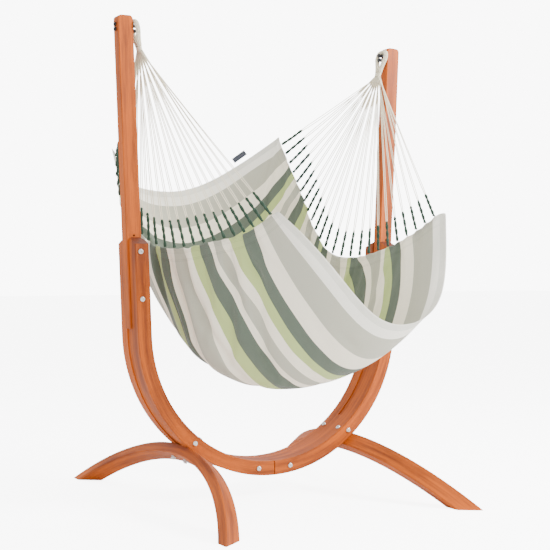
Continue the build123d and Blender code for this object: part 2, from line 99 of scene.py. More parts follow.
# -------------------- the cloth
# Five places across, left to right, on seven lines from the front hem to the back hem.
CLOTH_NET = (
    ((-0.235, -0.480, 1.200), (-0.005, -0.540, 0.970), (0.235, -0.580, 0.755),
     (0.505, -0.560, 0.850), (0.550, -0.505, 1.215)),
    ((-0.280, -0.335, 1.125), (-0.155, -0.415, 0.800), (0.090, -0.485, 0.608),
     (0.405, -0.465, 0.725), (0.490, -0.370, 1.120)),
    ((-0.335, -0.210, 1.095), (-0.295, -0.260, 0.705), (0.015, -0.310, 0.528),
     (0.340, -0.290, 0.662), (0.425, -0.235, 1.055)),
    ((-0.400, -0.080, 1.070), (-0.400, -0.090, 0.702), (-0.060, -0.105, 0.510),
     (0.315, -0.095, 0.685), (0.375, -0.095, 1.030)),
    ((-0.480, 0.105, 1.080), (-0.470, 0.090, 0.822), (-0.110, 0.105, 0.610),
     (0.280, 0.100, 0.795), (0.330, 0.040, 1.080)),
    ((-0.530, 0.330, 1.250), (-0.525, 0.320, 1.075), (-0.155, 0.300, 0.910),
     (0.230, 0.280, 1.040), (0.300, 0.170, 1.295)),
    ((-0.500, 0.475, 1.500), (-0.460, 0.545, 1.385), (-0.170, 0.510, 1.350),
     (0.110, 0.460, 1.470), (0.255, 0.310, 1.580)),
)
FLAT_ALONG = 1.58           # between the two rows of ties
FLAT_ACROSS = 1.80          # from hem to hem
CELLS_ALONG = 80
CELLS_PER_TIE = 4
HEM_CELLS = 2
HEM_WIDTH = 0.026
SLACK_ALONG = 1.012         # spare cloth between the two rows of ties
GATHER = 0.30               # spare share of each end's own length
GATHER_REACH = 0.11         # share of the way in over which it fades
FOLD_REACH = 0.10
TIE_HOLD, HEM_HOLD, BODY_HOLD = 1.0, 0.20, 0.05
CLOTH_PHYSICS = {
    "quality": 7, "mass": 0.25, "tension_stiffness": 30, "compression_stiffness": 12, "shear_stiffness": 4,
    "bending_stiffness": 0.3, "tension_damping": 20, "compression_damping": 20, "shear_damping": 10,
    "bending_damping": 0.5, "air_damping": 2, "pin_stiffness": 2,
}
THREAD_PITCH = 0.0016
STITCH_ROWS = (0.010, 0.016, 0.022, 0.050, 0.056)       # from the tied end
STITCH_PITCH = 0.005
LEFT_BUNCH_REACH = 0.22     # share of the way in over which the bunched stripes even out
RIGHT_BUNCH_REACH = 0.20
BUNCH_POWER = 1.5
FINE = 241                  # places along each side while the net is measured
# Share of the cloth at which each stripe ends, from the front hem to the middle; the back half mirrors it.
STRIPES = (
    (0.024, "hem"), (0.086, "grey"), (0.129, "cream"), (0.164, "sage"), (0.189, "lime"), (0.213, "cream"),
    (0.246, "grey"), (0.262, "cream"), (0.304, "sage"), (0.336, "lime"), (0.374, "cream"), (0.425, "grey"),
    (0.455, "cream"), (0.485, "sage"), (0.500, "lime"),
)
# The cloth is bunched unevenly on its ties: share of the edge, and share of the flat cloth that reaches it.
LEFT_BUNCH = (
    (0, 0), (0.098, 0.129), (0.158, 0.164), (0.215, 0.189), (0.245, 0.213), (0.285, 0.255), (0.338, 0.304),
    (0.368, 0.336), (0.440, 0.425), (1, 1),
)
RIGHT_BUNCH = (
    (0, 0), (0.028, 0.026), (0.123, 0.086), (0.178, 0.129), (0.228, 0.164), (0.256, 0.213), (0.330, 0.244),
    (0.374, 0.263), (0.408, 0.336), (0.500, 0.450), (0.885, 0.866), (0.966, 0.976), (1, 1),
)

# Creases that run in from an end of the cloth: end, share across, depth, half width across, reach along.
CREASES = (
    ("left", 0.110, 0.012, 0.012, 0.16), ("left", 0.178, 0.014, 0.010, 0.20),
    ("left", 0.247, 0.022, 0.012, 0.34), ("left", 0.318, 0.013, 0.010, 0.22),
    ("left", 0.380, 0.024, 0.013, 0.42), ("left", 0.460, 0.022, 0.012, 0.36),
    ("left", 0.540, 0.014, 0.012, 0.22), ("left", 0.640, 0.016, 0.013, 0.26),
    ("left", 0.760, 0.014, 0.012, 0.24), ("right", 0.140, 0.013, 0.012, 0.18),
    ("right", 0.235, 0.015, 0.012, 0.22), ("right", 0.360, 0.022, 0.013, 0.30),
    ("right", 0.470, 0.016, 0.012, 0.22), ("right", 0.620, 0.015, 0.012, 0.20),
    ("right", 0.780, 0.013, 0.012, 0.18),
)
CREASE_START = 0.035        # share of the way in where a crease has opened
CREASE_SCALE = 1.7
CREASE_WANDER = 0.02        # share across that a crease strays from its line
CREASE_WAVES = 9            # how fast it strays on its way in
CREASE_SHIFT = 20           # sets neighbouring creases out of step
CREASE_SHARPNESS = 1.3
VALLEY, SHOULDER = 1.25, 0.45       # heights of a crease's bottom and of the swell beside it
SHOULDER_WIDTH = 2.6        # times the crease's half width


# -------------------- the stage
SKY_SEEN = 9.0              # the background as the camera sees it
SKY_LIGHT = 1.6             # the same background as a light
FLOOR_SEEN = 6.5
CAMERA_PLACE = (-2.473, -4.223, 0.993)
CAMERA_AZIMUTH = radians(30.85)
CAMERA_PITCH = radians(0.5)         # downwards
CAMERA_ROLL = radians(0.2)
CAMERA_LENS = 73.6
LIGHT_AIM = (0, 0, 0.9)
LIGHTS = (
    ("Key light", (3.2, -3.0, 3.0), 1.3, 470),
    ("Fill light", (-4.0, -3.0, 2.4), 3.0, 40),
    ("Top light", (0.2, 0.6, 4.4), 3.2, 110),
)


# -------------------- settings a user would change
def colour_setting(name, description, default):
    """Colour that a user can change."""
    return bpy.props.FloatVectorProperty(
        name=name, description=description, subtype="COLOR", size=4, min=0, max=1, default=default)


def length_setting(name, description, low, high, default):
    """Length that a user can change."""
    return bpy.props.FloatProperty(
        name=name, description=description, subtype="DISTANCE", unit="LENGTH",
        min=low, max=high, default=default)


class HammockClothSettings(bpy.types.PropertyGroup):
    hem: colour_setting("Hem", "Colour of the turned hems", (0.90, 0.87, 0.76, 1))
    cream: colour_setting("Cream", "Colour of the cream stripes", (0.92, 0.85, 0.68, 1))
    grey: colour_setting("Grey", "Colour of the wide grey stripes", (0.43, 0.42, 0.33, 1))
    sage: colour_setting("Sage", "Colour of the dark grey-green stripes", (0.092, 0.118, 0.084, 1))
    lime: colour_setting("Lime", "Colour of the light green stripes", (0.42, 0.51, 0.18, 1))
    thickness: length_setting("Thickness", "Thickness of the woven cloth", 0.0005, 0.004, 0.0016)
    fold_depth: length_setting("Fold depth", "Depth of the folds between the ties", 0, 0.03, 0.016)
    frames: bpy.props.IntProperty(
        name="Cloth steps", description="Steps that the cloth takes to settle", min=2, max=60, default=26)


class HammockCordSettings(bpy.types.PropertyGroup):
    cord_radius: length_setting(
        "Cord radius", "Radius of each cream suspension cord", 0.0005, 0.003, 0.0016)
    tie_radius: length_setting("Tie radius", "Radius of each strand of a green tie", 0.001, 0.006, 0.0043)
    tie_turns: bpy.props.FloatProperty(
        name="Tie turns", description="Turns that the two strands of a tie make", min=0.5, max=8, default=1.7)
    tie_colour: colour_setting("Tie colour", "Colour of the green ties", (0.013, 0.044, 0.022, 1))
    cord_colour: colour_setting("Cord colour", "Colour of the cream cords and loops", (0.90, 0.82, 0.62, 1))


class HammockWoodSettings(bpy.types.PropertyGroup):
    light: colour_setting("Light wood", "Colour between the grain lines", (0.44, 0.086, 0.003, 1))
    dark: colour_setting("Dark wood", "Colour of the grain lines", (0.17, 0.030, 0.002, 1))
    end_grain: colour_setting("End grain", "Colour where the wood is cut across", (0.085, 0.021, 0.010, 1))


# -------------------- shader building
def add_node(tree, kind, **values):
    """New node; its plain values are set by name."""
    node = tree.nodes.new(kind)
    for name, value in values.items():
        setattr(node, name, value)
    return node


def feed(tree, node, socket, value):
    """Link an output to an input, or set the input's own value."""
    if isinstance(value, bpy.types.NodeSocket):
        tree.links.new(value, node.inputs[socket])
    else:
        node.inputs[socket].default_value = value


def feed_all(tree, node, **values):
    """Feed several sockets by name, with _ for a space."""
    for name, value in values.items():
        feed(tree, node, name.replace("_", " "), value)


def calc(tree, operation, *values, clamp=False):
    """Output of a Math node."""
    node = add_node(tree, "ShaderNodeMath", operation=operation, use_clamp=clamp)
    for index, value in enumerate(values):
        feed(tree, node, index, value)
    return node.outputs[0]


def times(tree, first, second):
    """Product of two values."""
    return calc(tree, "MULTIPLY", first, second)


def plus(tree, first, second):
    """Sum of two values."""
    return calc(tree, "ADD", first, second)


def minus(tree, first, second):
    """First value less the second."""
    return calc(tree, "SUBTRACT", first, second)


def size_of(tree, value):
    """A value without its sign."""
    return calc(tree, "ABSOLUTE", value)


def from_axis(tree, first, second):
    """Distance of a point from an axis, from its two places across it."""
    return calc(tree, "SQRT", plus(tree, calc(tree, "POWER", first, 2), calc(tree, "POWER", second, 2)))


def join(tree, x, y, z):
    """Output of a Combine XYZ node."""
    node = add_node(tree, "ShaderNodeCombineXYZ")
    for index, value in enumerate((x, y, z)):
        feed(tree, node, index, value)
    return node.outputs[0]


def parts(tree, vector):
    """The three outputs of a Separate XYZ node."""
    node = add_node(tree, "ShaderNodeSeparateXYZ")
    feed(tree, node, 0, vector)
    return node.outputs


def blend_colour(tree, factor, first, second, mode="MIX"):
    """Output of a colour Mix node."""
    node = add_node(tree, "ShaderNodeMix", data_type="RGBA", blend_type=mode)
    feed(tree, node, "Factor", factor)
    feed(tree, node, 6, first)
    feed(tree, node, 7, second)
    return node.outputs[2]


def noise(tree, vector, scale, detail=3.0, roughness=0.55, distortion=0.0):
    """Factor output of a Noise Texture."""
    node = add_node(tree, "ShaderNodeTexNoise")
    feed_all(tree, node, Vector=vector, Scale=scale, Detail=detail)
    feed_all(tree, node, Roughness=roughness, Distortion=distortion)
    return node.outputs["Fac"]


def ramp(tree, factor, stops, constant=False):
    """Colour output of a ramp with the given (place, colour) stops."""
    node = add_node(tree, "ShaderNodeValToRGB")
    node.color_ramp.interpolation = "CONSTANT" if constant else "LINEAR"
    while len(node.color_ramp.elements) < len(stops):
        node.color_ramp.elements.new(0.5)
    for element, (place, colour) in zip(node.color_ramp.elements, stops):
        element.position = place
        element.color = colour
    feed(tree, node, 0, factor)
    return node.outputs[0]


def span(tree, value, low, high, to_low=0.0, to_high=1.0):
    """Output of a clamped Map Range node."""
    node = add_node(tree, "ShaderNodeMapRange")
    for index, entry in enumerate((value, low, high, to_low, to_high)):
        feed(tree, node, index, entry)
    return node.outputs[0]


def new_group(name, inputs, outputs):
    """Empty shader node group with typed sockets; returns its tree, its input sockets and its output node."""
    tree = bpy.data.node_groups.new(name, "ShaderNodeTree")
    for socket, kind in inputs:
        tree.interface.new_socket(name=socket, in_out="INPUT", socket_type=f"NodeSocket{kind}")
    for socket, kind in outputs:
        tree.interface.new_socket(name=socket, in_out="OUTPUT", socket_type=f"NodeSocket{kind}")
    return tree, add_node(tree, "NodeGroupInput").outputs, add_node(tree, "NodeGroupOutput")


def use_group(tree, group, **values):
    """Outputs of a group node placed in a material, fed by socket name with _ for a space."""
    node = add_node(tree, "ShaderNodeGroup", node_tree=group)
    feed_all(tree, node, **values)
    return node.outputs


def new_material(name):
    """Material with a Principled shader; returns it, its tree and the shader node."""
    material = bpy.data.materials.new(name)
    material.use_nodes = True
    return material, material.node_tree, material.node_tree.nodes["Principled BSDF"]


def bump(tree, shader, height, strength, distance):
    """Feed a height to the shader's normal."""
    node = add_node(tree, "ShaderNodeBump")
    feed_all(tree, node, Strength=strength, Distance=distance, Height=height)
    feed(tree, shader, "Normal", node.outputs[0])


def object_place(tree):
    """Object coordinates."""
    return add_node(tree, "ShaderNodeTexCoord").outputs["Object"]


def make_grain_group():
    """Long wood grain: x of its place runs along the wood, y and z lie across it."""
    tree, given, result = new_group(
        "Wood grain",
        [("Place", "Vector"), ("Light", "Color"), ("Dark", "Color"), ("End", "Color"), ("End mask", "Float")],
        [("Color", "Color"), ("Roughness", "Float"), ("Height", "Float")])
    place = given["Place"]
    x, y, z = parts(tree, place)
    long_place = join(tree, times(tree, x, 0.045), y, z)
    bands = noise(tree, long_place, 46, 4, 0.6, 0.35)
    fine = noise(tree, join(tree, times(tree, x, 0.03), y, z), 330, 3, 0.6)
    pores = noise(tree, join(tree, times(tree, x, 0.02), y, z), 900, 2, 0.5)
    patches = noise(tree, join(tree, times(tree, x, 0.25), y, z), 9, 2)
    streaks = noise(tree, join(tree, times(tree, x, 0.06), y, z), 24, 3, 0.7, 0.5)
    tone = plus(tree, times(tree, bands, 0.62), times(tree, fine, 0.38))
    tone = plus(tree, tone, times(tree, minus(tree, patches, 0.5), 0.45))
    colour = blend_colour(tree, span(tree, tone, 0.36, 0.60), given["Dark"], given["Light"])
    streak_mask = span(tree, streaks, 0.66, 0.80, 0, 0.55)
    colour = blend_colour(tree, streak_mask, colour, given["End"])
    colour = blend_colour(tree, span(tree, pores, 0.60, 0.80, 0, 0.30), colour, given["End"])
    rings = noise(tree, join(tree, times(tree, x, 0.5), y, z), 120, 3, 0.6)
    end_colour = blend_colour(tree, span(tree, rings, 0.35, 0.65, 0.0, 0.55), given["End"], given["Dark"])
    colour = blend_colour(tree, given["End mask"], colour, end_colour)
    feed(tree, result, "Color", colour)
    feed(tree, result, "Roughness", span(tree, fine, 0.3, 0.7, 0.48, 0.62))
    feed(tree, result, "Height", plus(tree, times(tree, pores, 0.5), times(tree, fine, 0.5)))
    return tree


def make_weave_group():
    """Plain weave: two crossing sets of threads on a place in metres."""
    tree, given, result = new_group(
        "Plain weave", [("Place", "Vector"), ("Thread", "Float")], [("Height", "Float"), ("Slub", "Float")])
    x, y, _ = parts(tree, given["Place"])
    turn = calc(tree, "DIVIDE", 2 * pi, given["Thread"])
    warp = calc(tree, "SINE", times(tree, x, turn))
    weft = calc(tree, "SINE", times(tree, y, turn))
    slub_along = noise(tree, join(tree, times(tree, x, 20), times(tree, y, 900), 0), 1, 2)
    slub_across = noise(tree, join(tree, times(tree, x, 900), times(tree, y, 20), 0), 1, 2)
    feed(tree, result, "Height", calc(tree, "MULTIPLY_ADD", times(tree, warp, weft), 0.5, 0.5))
    feed(tree, result, "Slub", plus(tree, times(tree, slub_along, 0.6), times(tree, slub_across, 0.4)))
    return tree


def make_twist_group():
    """Slanting strands of a twisted cord: x of its place is metres along it, y the share round it."""
    tree, given, result = new_group(
        "Cord twist", [("Place", "Vector"), ("Pitch", "Float"), ("Strands", "Float")], [("Height", "Float")])
    x, y, _ = parts(tree, given["Place"])
    phase = plus(tree, calc(tree, "DIVIDE", x, given["Pitch"]), times(tree, y, given["Strands"]))
    wave = size_of(tree, calc(tree, "SINE", times(tree, phase, pi)))
    feed(tree, result, "Height", calc(tree, "POWER", wave, 0.7))
    return tree


def grain_finish(name, group, wood, place, end_mask):
    """Oiled wood whose grain follows the given place."""
    material, tree, shader = new_material(name)
    outputs = use_group(tree, group, Place=place(tree), Light=wood.light, Dark=wood.dark, End=wood.end_grain,
                        End_mask=end_mask(tree))
    feed(tree, shader, "Base Color", outputs["Color"])
    feed(tree, shader, "Roughness", outputs["Roughness"])
    feed(tree, shader, "Specular IOR Level", 0.22)
    bump(tree, shader, outputs["Height"], 0.35, 0.0006)
    return material


def post_place(side):
    """Place along a leaning post."""
    def build(tree):
        x, y, z = parts(tree, object_place(tree))
        across = minus(tree, x, times(tree, z, side * tan(LEAN)))
        return join(tree, z, across, plus(tree, y, 3.7 * side))
    return build


def arm_place(shift):
    """Place along an arm: round the arc below its centre, then straight up."""
    def build(tree):
        x, y, z = parts(tree, object_place(tree))
        rise = minus(tree, z, ARC_CENTRE_Z)
        below = calc(tree, "MINIMUM", rise, 0.0)
        above = calc(tree, "MAXIMUM", rise, 0.0)
        outwards = size_of(tree, x)
        angle = calc(tree, "ARCTAN2", outwards, times(tree, below, -1))
        radius = from_axis(tree, outwards, below)
        radius = minus(tree, radius, times(tree, above, tan(LEAN)))
        along = plus(tree, times(tree, angle, ARC_RADIUS), above)
        return join(tree, times(tree, along, calc(tree, "SIGN", x)), radius, plus(tree, y, shift))
    return build


def foot_place(side):
    """Place along an arched foot, round the centre of its arc."""
    reach = ARM_OUTER - FOOT_SEAT_DEPTH + FOOT_RADIUS
    centre = Vector((side * reach * sin(FOOT_ANGLE), 0, ARC_CENTRE_Z - reach * cos(FOOT_ANGLE)))
    up = Vector((-side * sin(FOOT_ANGLE), 0, cos(FOOT_ANGLE)))
    normal = Vector((cos(FOOT_ANGLE), 0, side * sin(FOOT_ANGLE)))

    def build(tree):
        x, y, z = parts(tree, object_place(tree))
        dx = minus(tree, x, centre.x)
        dz = minus(tree, z, centre.z)
        rise = plus(tree, times(tree, dx, up.x), times(tree, dz, up.z))
        depth = plus(tree, times(tree, dx, normal.x), times(tree, dz, normal.z))
        angle = calc(tree, "ARCTAN2", y, rise)
        radius = from_axis(tree, y, rise)
        return join(tree, times(tree, angle, FOOT_RADIUS), radius, plus(tree, depth, 5.3 * side))
    return build


def cut_across(height):
    """Mask of the faces that point up above a height, where the wood is cut across."""
    def build(tree):
        _, _, z = parts(tree, object_place(tree))
        _, _, up = parts(tree, add_node(tree, "ShaderNodeNewGeometry").outputs["Normal"])
        high = span(tree, z, height - 0.004, height)
        return times(tree, high, span(tree, up, 0.55, 0.80))
    return build


def metal_finish(name, colour, roughness, metallic):
    """Turned metal with fine scratches and a little dirt."""
    material, tree, shader = new_material(name)
    place = object_place(tree)
    scratches = noise(tree, place, 900, 3)
    cloud = noise(tree, place, 120, 3)
    dull = tuple(0.7 * part for part in colour[:3]) + (1,)
    tint = blend_colour(tree, span(tree, cloud, 0.3, 0.7, 0.0, 0.35), colour, dull)
    feed(tree, shader, "Base Color", tint)
    feed(tree, shader, "Roughness", span(tree, scratches, 0.3, 0.7, roughness - 0.06, roughness + 0.10))
    feed(tree, shader, "Metallic", metallic)
    bump(tree, shader, scratches, 0.12, 0.0002)
    return material


def cord_finish(name, colour, pitch, strands, relief):
    """Soft twisted cotton with painted shade in the grooves of its twist; its pattern follows the cord's own
    UV map.
    """
    material, tree, shader = new_material(name)
    uv = add_node(tree, "ShaderNodeUVMap", uv_map="Run").outputs[0]
    group = bpy.data.node_groups["Cord twist"]
    twist = use_group(tree, group, Place=uv, Pitch=pitch, Strands=strands)["Height"]
    fluff = noise(tree, object_place(tree), 650, 3)
    # Painted shade: the grooves between the twisted strands are darkened towards 0.55 of the cord colour; the
    # fluff noise adds a random tone of its own to the same mix.
    painted_groove_shade = tuple(0.55 * c for c in colour[:3]) + (1,)
    tone = calc(tree, "MULTIPLY_ADD", twist, 0.75, times(tree, fluff, 0.35), clamp=True)
    feed_all(tree, shader, Base_Color=blend_colour(tree, tone, painted_groove_shade, tuple(colour)), Roughness=0.82)
    bump(tree, shader, plus(tree, twist, times(tree, fluff, 0.3)), 0.8, relief)
    return material


# -------------------- shaping helpers
def clear_selection():
    """Object mode with nothing selected."""
    if bpy.context.mode != "OBJECT":
        bpy.ops.object.mode_set(mode="OBJECT")
    bpy.ops.object.select_all(action="DESELECT")


def make_active(piece):
    """Select one object alone and make it active."""
    clear_selection()
    piece.select_set(True)
    bpy.context.view_layer.objects.active = piece


def apply_modifier(piece, name):
    """Apply one modifier by name."""
    make_active(piece)
    bpy.ops.object.modifier_apply(modifier=name)


def route_points(places, order=3, resolution=10):
    """Points read from a smooth open line with the given control places."""
    curve = bpy.data.curves.new("route", "CURVE")
    curve.dimensions = "3D"
    spline = curve.splines.new("NURBS")
    spline.points.add(len(places) - 1)
    for point, place in zip(spline.points, places):
        point.co = (*place, 1)
    spline.order_u = order
    spline.use_endpoint_u = True
    spline.resolution_u = resolution
    carrier = bpy.data.objects.new("route", curve)
    mesh = bpy.data.meshes.new_from_object(carrier)
    points = [vertex.co.copy() for vertex in mesh.vertices]
    bpy.data.objects.remove(carrier)
    bpy.data.curves.remove(curve)
    bpy.data.meshes.remove(mesh)
    return points


def add_tube(bm, run, points, radius, sides):
    """Round closed-ended tube along points, with a UV of metres along it and the share round it."""
    count = len(points)
    tangents = []
    for index in range(count):
        tangents.append((points[min(index + 1, count - 1)] - points[max(index - 1, 0)]).normalized())
    normal = tangents[0].orthogonal().normalized()
    rings = []
    travelled = [0.0]
    for index, (point, tangent) in enumerate(zip(points, tangents)):
        normal = (normal - tangent * normal.dot(tangent)).normalized()
        other = tangent.cross(normal)
        angles = [2 * pi * k / sides for k in range(sides)]
        rings.append([bm.verts.new(point + radius * (normal * cos(a) + other * sin(a))) for a in angles])
        if index:
            travelled.append(travelled[-1] + (point - points[index - 1]).length)
    for first, second, start, end in zip(rings, rings[1:], travelled, travelled[1:]):
        for k in range(sides):
            face = bm.faces.new((first[k], first[(k + 1) % sides], second[(k + 1) % sides], second[k]))
            face.smooth = True
            corners = ((start, k), (start, k + 1), (end, k + 1), (end, k))
            for loop, (along, around) in zip(face.loops, corners):
                loop[run].uv = (along, around / sides)
    bm.faces.new(tuple(reversed(rings[0])))
    bm.faces.new(tuple(rings[-1]))


def tube_piece(name, tubes, material):
    """One object of many tubes, each given as (points, radius, sides)."""
    bm = bmesh.new()
    run = bm.loops.layers.uv.new("Run")
    for points, radius, sides in tubes:
        add_tube(bm, run, points, radius, sides)
    mesh = bpy.data.meshes.new(name)
    bm.to_mesh(mesh)
    bm.free()
    mesh.materials.append(material)
    piece = bpy.data.objects.new(name, mesh)
    bpy.context.scene.collection.objects.link(piece)
    return piece


def strand_round(points, offset, turns, phase):
    """A line that winds round another at an offset."""
    wound = []
    normal = (points[1] - points[0]).orthogonal().normalized()
    last = len(points) - 1
    for index, point in enumerate(points):
        tangent = (points[min(index + 1, last)] - points[max(index - 1, 0)]).normalized()
        normal = (normal - tangent * normal.dot(tangent)).normalized()
        other = tangent.cross(normal)
        angle = phase + 2 * pi * turns * index / last
        wound.append(point + offset * (normal * cos(angle) + other * sin(angle)))
    return wound


def straight(start, end, count):
    """Evenly spaced points from start to end."""
    return [start.lerp(end, index / (count - 1)) for index in range(count)]


# -------------------- the hanging cloth's shape
def spline_matrix(count, places):
    """Weights that carry evenly spaced knots of a natural cubic line to places along it."""
    system = np.eye(count)
    bends = np.zeros((count, count))
    for index in range(1, count - 1):
        system[index, index - 1:index + 2] = (1, 4, 1)
        bends[index, index - 1:index + 2] = (6, -12, 6)
    bends = np.linalg.solve(system, bends)
    rows = []
    for place in places:
        index = min(max(int(place), 0), count - 2)
        share = place - index
        row = np.zeros(count)
        row[index] += 1 - share
        row[index + 1] += share
        row += ((1 - share) ** 3 - (1 - share)) / 6 * bends[index]
        row += (share ** 3 - share) / 6 * bends[index + 1]
        rows.append(row)
    return np.array(rows)


def spaced_evenly(lines, count):
    """Points of each line (first axis) moved to equal distances along it."""
    steps = np.linalg.norm(np.diff(lines, axis=0), axis=2)
    travelled = np.vstack([np.zeros(steps.shape[1]), np.cumsum(steps, axis=0)])
    spaced = np.empty((count, lines.shape[1], 3))
    for column in range(lines.shape[1]):
        places = np.linspace(0, travelled[-1, column], count)
        for axis in range(3):
            spaced[:, column, axis] = np.interp(places, travelled[:, column], lines[:, column, axis])
    return spaced


def cloth_points(rows, columns):
    """Even grid of points on the smooth surface through the net."""
    net = np.array(CLOTH_NET)
    lines = spline_matrix(net.shape[0], np.linspace(0, net.shape[0] - 1, FINE))
    across = spline_matrix(net.shape[1], np.linspace(0, net.shape[1] - 1, FINE))
    points = np.einsum("ij,jkc,lk->ilc", lines, net, across)
    for _ in range(3):
        points = spaced_evenly(points, FINE)
        points = spaced_evenly(points.transpose(1, 0, 2), FINE).transpose(1, 0, 2)
    points = spaced_evenly(points, rows)
    return spaced_evenly(points.transpose(1, 0, 2), columns).transpose(1, 0, 2)


def grid_normals(points):
    """Unit normals of a grid of points."""
    normals = np.cross(np.gradient(points, axis=1), np.gradient(points, axis=0))
    return normals / np.linalg.norm(normals, axis=2, keepdims=True)


def with_hems(points):
    """The grid with the hems' rows added past its first and last lines."""
    normals = grid_normals(points)
    rows = []
    for line, inner in ((0, 1), (-1, -2)):
        along = np.gradient(points[line], axis=0)
        outwards = np.cross(along, normals[line])
        outwards *= np.sign(np.sum(outwards * (points[line] - points[inner]), axis=1, keepdims=True))
        outwards /= np.linalg.norm(outwards, axis=1, keepdims=True)
        reaches = [HEM_WIDTH * (step + 1) / HEM_CELLS for step in range(HEM_CELLS)]
        rows.append([points[line] + outwards * reach for reach in reaches])
    return np.concatenate([np.array(rows[0])[::-1], points, np.array(rows[1])])


def creased(points, body_rows):
    """The settled grid with its creases pressed in towards the seat."""
    normals = grid_normals(points)
    columns = points.shape[1]
    along = np.linspace(0, 1, columns)[None, :]
    across = (np.arange(points.shape[0]) - HEM_CELLS)[:, None] / (body_rows - 1)
    depth = np.zeros(points.shape[:2])
    for end, place, deep, half_width, reach in CREASES:
        inwards = along if end == "left" else 1 - along
        middle = place + CREASE_WANDER * np.sin(CREASE_WAVES * inwards + CREASE_SHIFT * place)
        valley = np.exp(-np.abs((across - middle) / half_width) ** CREASE_SHARPNESS)
        shoulder = np.exp(-((across - middle) / (SHOULDER_WIDTH * half_width)) ** 2)
        fade = np.exp(-(inwards / reach) ** 2) * (1 - np.exp(-(inwards / CREASE_START) ** 2))
        depth += CREASE_SCALE * deep * (VALLEY * valley - SHOULDER * shoulder) * fade
    middle_row, middle_column = points.shape[0] // 2, columns // 2
    up = np.sign(normals[middle_row, middle_column, 2])
    return points + up * normals * depth[:, :, None]


def bunched(table, share):
    """Share of the flat cloth at a share of a bunched edge."""
    places, flats = zip(*table)
    return float(np.interp(share, places, flats))


def stripe_share(along, across):
    """Share of the flat cloth under a point of the hanging cloth."""
    left = max(0.0, 1 - along / LEFT_BUNCH_REACH) ** BUNCH_POWER
    right = max(0.0, (along - (1 - RIGHT_BUNCH_REACH)) / RIGHT_BUNCH_REACH) ** BUNCH_POWER
    middle = max(0.0, 1 - left - right)
    return left * bunched(LEFT_BUNCH, across) + right * bunched(RIGHT_BUNCH, across) + middle * across


def tie_ends(side):
    """For each tie: the start of its cords under the neck, the eye and the place on the cloth."""
    end_line = cloth_points(TIES * CELLS_PER_TIE + 1, 3)[:, -1 if side > 0 else 0]
    down = neck_down(side)
    neck = neck_place(side, NECK_DROP + WRAP_HEIGHT + WRAP_GAP)
    forward = Vector((0, 1, 0))
    inwards = down.cross(forward)
    ends = []
    for index in range(TIES):
        place = Vector(end_line[CELLS_PER_TIE * index + CELLS_PER_TIE // 2])
        column, line = divmod(index, CORD_LINES)
        start = neck + forward * (column - 3.5) * CORD_PITCH + inwards * (line - 1) * CORD_PITCH
        reach = (start - place).normalized()
        ends.append((start, place + reach * (TIE_LENGTH + TIE_GAP), place + reach * TIE_GAP))
    return ends


def neck_down(side):
    """Direction down a tilted hanging loop."""
    return Vector((-side * sin(LOOP_TILT), 0, -cos(LOOP_TILT)))


def neck_place(side, drop):
    """Point a distance below the upper hanger bolt along the loop."""
    return Vector((side * LOOP_X, 0, HANGER_HEIGHT)) + neck_down(side) * drop


# -------------------- operators
class HAMMOCK_OT_stand(bpy.types.Operator):
    """Give the wooden stand and its metal parts their finishes"""
    bl_idname = "hammock.stand"
    bl_label = "Finish the stand"

    def execute(self, context):
        wood = context.scene.hammock_wood
        grain = make_grain_group()
        no_end = cut_across(NO_END)
        finishes = {}
        for side_name, side in SIDES.items():
            finishes[f"{side_name}_post"] = grain_finish(
                f"{side_name} post wood", grain, wood, post_place(side), cut_across(STAND_HEIGHT - 0.02))
            for layer, shift, end in ARM_LAYERS:
                name = f"{side_name}_{layer}"
                finishes[name] = grain_finish(
                    name.replace("_", " ") + " wood", grain, wood, arm_place(shift * side), cut_across(end))
            finishes[f"{side_name}_foot"] = grain_finish(
                f"{side_name} foot wood", grain, wood, foot_place(side), no_end)
        finishes["centre_splice"] = grain_finish("splice wood", grain, wood, arm_place(4.4), no_end)
        stainless = metal_finish("Stainless steel", (0.62, 0.62, 0.61, 1), 0.26, 1.0)
        blacked = metal_finish("Blacked steel", (0.035, 0.035, 0.037, 1), 0.42, 0.6)
        for name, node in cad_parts.items():
            if "bolts" in name or "washers" in name or "nuts" in name or "sleeves" in name:
                finishes[name] = blacked if "hanger" in name else stainless
        for name, finish in finishes.items():
            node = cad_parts[name]
            node.data.materials.clear()
            node.data.materials.append(finish)
        return {"FINISHED"}


